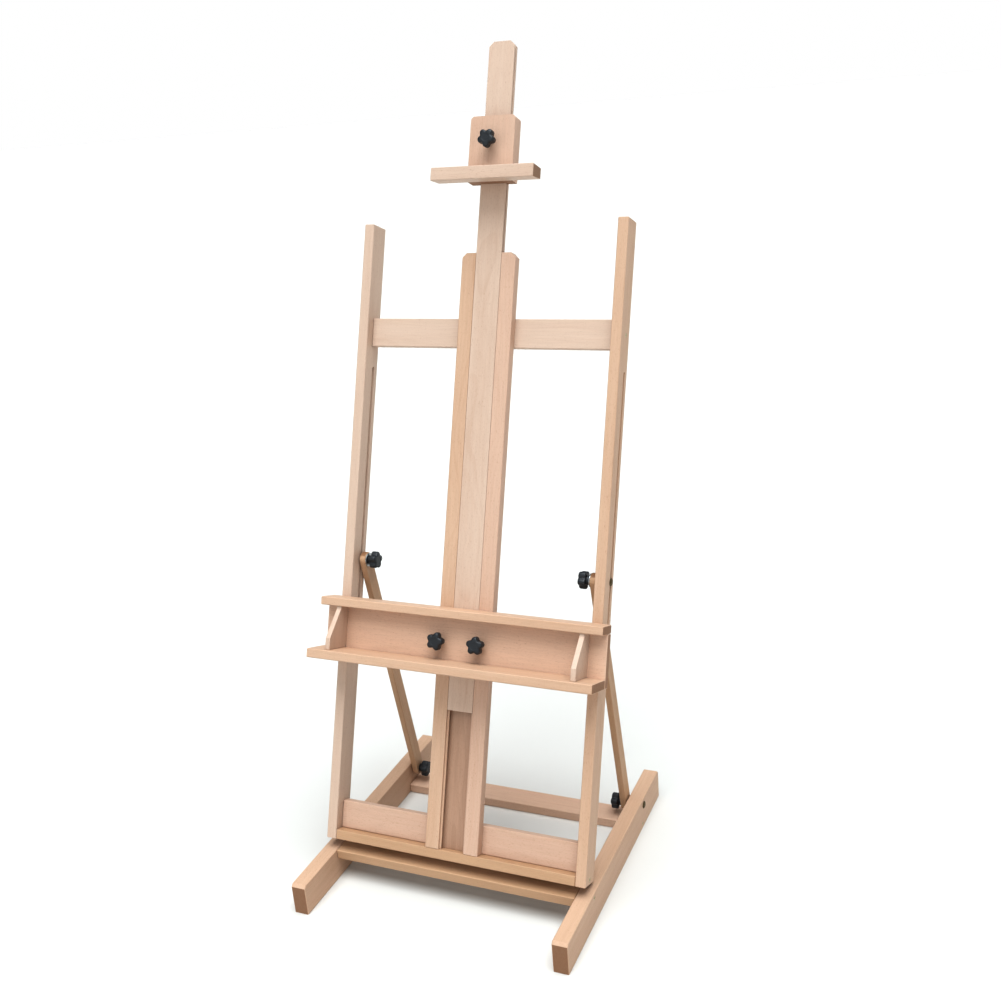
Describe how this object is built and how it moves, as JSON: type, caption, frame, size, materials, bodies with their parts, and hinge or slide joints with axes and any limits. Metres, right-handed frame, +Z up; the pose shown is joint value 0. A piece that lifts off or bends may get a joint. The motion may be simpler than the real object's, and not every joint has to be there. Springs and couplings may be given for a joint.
{
  "type": "wooden studio easel",
  "caption": "H-frame beech studio easel: frame leans on slotted struts, mast with canvas clamp slides in a channel, brush tray slides on the guide rails.",
  "frame": {"origin": "on the floor under the middle of the bounding box, between the two feet", "axes": "+Z up; -Y towards the painter, who stands in front of the tray; +X to the painter's right"},
  "size_m": [0.596, 0.7048, 1.593],
  "materials": {
    "beech": "sanded beech under a thin clear oil, pale and slightly pink, fine straight grain",
    "beech_warm": "sanded beech under a thin clear oil, a slightly redder board",
    "knob_black": "black moulded plastic with a soft sheen",
    "steel_parts": "bright zinc plated steel studs and washers",
    "bronzed_parts": "domed bolts with a dull olive brown bronzed plating",
    "zinc_parts": "yellowish zinc plated hinges and screws"
  },
  "bodies": {
    "base": {"front_crossbar": "beech_warm", "rear_crossbar": "beech_warm", "left_foot": "beech", "right_foot": "beech", "left_front_crossbar_screw": "zinc_parts", "right_front_crossbar_screw": "zinc_parts", "left_rear_crossbar_screw": "zinc_parts", "right_rear_crossbar_screw": "zinc_parts", "left_foot_bolt": "bronzed_parts", "right_foot_bolt": "bronzed_parts", "left_foot_spacer_washer": "steel_parts", "right_foot_spacer_washer": "steel_parts", "left_hinge_lower_leaf": "zinc_parts", "right_hinge_lower_leaf": "zinc_parts", "left_hinge_pin": "steel_parts", "right_hinge_pin": "steel_parts"},
    "frame": {"upper_crossbar": "beech", "lower_cross_board": "beech_warm", "bottom_ledge": "beech", "channel_back_strip": "beech_warm", "left_post": "beech", "right_post": "beech", "left_guide_rail": "beech", "right_guide_rail": "beech", "left_upper_crossbar_screw": "zinc_parts", "right_upper_crossbar_screw": "zinc_parts", "left_ledge_screw": "zinc_parts", "right_ledge_screw": "zinc_parts", "left_hinge_upper_leaf": "zinc_parts", "right_hinge_upper_leaf": "zinc_parts"},
    "left_strut": {"left_strut": "beech"},
    "right_strut": {"right_strut": "beech"},
    "left_slot_clamp": {"left_slot_bolt": "bronzed_parts", "left_slot_spacer_washer": "steel_parts", "left_slot_plate_washer": "steel_parts"},
    "right_slot_clamp": {"right_slot_bolt": "bronzed_parts", "right_slot_spacer_washer": "steel_parts", "right_slot_plate_washer": "steel_parts"},
    "left_slot_knob": {"left_slot_knob": "knob_black"},
    "right_slot_knob": {"right_slot_knob": "knob_black"},
    "left_foot_knob": {"left_foot_knob": "knob_black"},
    "right_foot_knob": {"right_foot_knob": "knob_black"},
    "mast": {"mast": "beech"},
    "clamp": {"clamp_block": "beech", "clamp_ledge": "beech"},
    "clamp_knob": {"clamp_knob": "knob_black", "clamp_stud": "steel_parts"},
    "tray": {"tray_back_board": "beech_warm", "tray_floor": "beech", "canvas_ledge": "beech", "left_tray_divider": "beech", "right_tray_divider": "beech", "left_tray_hook": "beech_warm", "right_tray_hook": "beech_warm"},
    "left_tray_knob": {"left_tray_knob": "knob_black", "left_tray_stud": "steel_parts"},
    "right_tray_knob": {"right_tray_knob": "knob_black", "right_tray_stud": "steel_parts"}
  },
  "joints": [
    {"name": "frame_tilt", "type": "hinge", "parent": "base", "child": "frame", "pos_m": [0, -0.1753, 0.0684], "axis": [-1, 0, 0], "range_deg": [-20, 5]},
    {"name": "left_strut_swing", "type": "hinge", "parent": "base", "child": "left_strut", "pos_m": [-0.249, 0.1239, 0.05], "axis": [-1, 0, 0], "range_deg": [-22.5, 6]},
    {"name": "left_slot_slide", "type": "slide", "parent": "frame", "child": "left_slot_clamp", "axis": [0, 0.3502, 0.9367], "range_m": [-0.115, 0.03]},
    {"name": "left_slot_knob_turn", "type": "hinge", "parent": "left_slot_clamp", "child": "left_slot_knob", "pos_m": [-0.23, 0.00878, 0.61441], "axis": [1, 0, 0], "continuous": true},
    {"name": "left_foot_knob_turn", "type": "hinge", "parent": "base", "child": "left_foot_knob", "pos_m": [-0.23, 0.1239, 0.05], "axis": [1, 0, 0], "continuous": true},
    {"name": "left_tray_knob_turn", "type": "hinge", "parent": "tray", "child": "left_tray_knob", "pos_m": [-0.0422, -0.10956, 0.50919], "axis": [0, -0.9367, 0.3502], "continuous": true},
    {"name": "right_strut_swing", "type": "hinge", "parent": "base", "child": "right_strut", "pos_m": [0.249, 0.1239, 0.05], "axis": [-1, 0, 0], "range_deg": [-22.5, 6]},
    {"name": "right_slot_slide", "type": "slide", "parent": "frame", "child": "right_slot_clamp", "axis": [0, 0.3502, 0.9367], "range_m": [-0.115, 0.03]},
    {"name": "right_slot_knob_turn", "type": "hinge", "parent": "right_slot_clamp", "child": "right_slot_knob", "pos_m": [0.23, 0.00878, 0.61441], "axis": [-1, 0, 0], "continuous": true},
    {"name": "right_foot_knob_turn", "type": "hinge", "parent": "base", "child": "right_foot_knob", "pos_m": [0.23, 0.1239, 0.05], "axis": [-1, 0, 0], "continuous": true},
    {"name": "right_tray_knob_turn", "type": "hinge", "parent": "tray", "child": "right_tray_knob", "pos_m": [0.0422, -0.10956, 0.50919], "axis": [0, -0.9367, 0.3502], "continuous": true},
    {"name": "mast_slide", "type": "slide", "parent": "frame", "child": "mast", "axis": [0, 0.3502, 0.9367], "range_m": [-0.06, 0.5]},
    {"name": "clamp_slide", "type": "slide", "parent": "mast", "child": "clamp", "axis": [0, 0.3502, 0.9367], "range_m": [-0.06, 0.145]},
    {"name": "clamp_knob_turn", "type": "hinge", "parent": "clamp", "child": "clamp_knob", "pos_m": [0, 0.23031, 1.41823], "axis": [0, -0.9367, 0.3502], "continuous": true},
    {"name": "tray_slide", "type": "slide", "parent": "frame", "child": "tray", "axis": [0, 0.3502, 0.9367], "range_m": [-0.3, 0.53]}
  ],
  "couplings": [
    {"joint": "left_strut_swing", "follows": "frame_tilt", "ratio": 1.0981},
    {"joint": "left_slot_slide", "follows": "frame_tilt", "m_per_rad": 0.3248},
    {"joint": "right_strut_swing", "follows": "frame_tilt", "ratio": 1.0981},
    {"joint": "right_slot_slide", "follows": "frame_tilt", "m_per_rad": 0.3248}
  ]
}
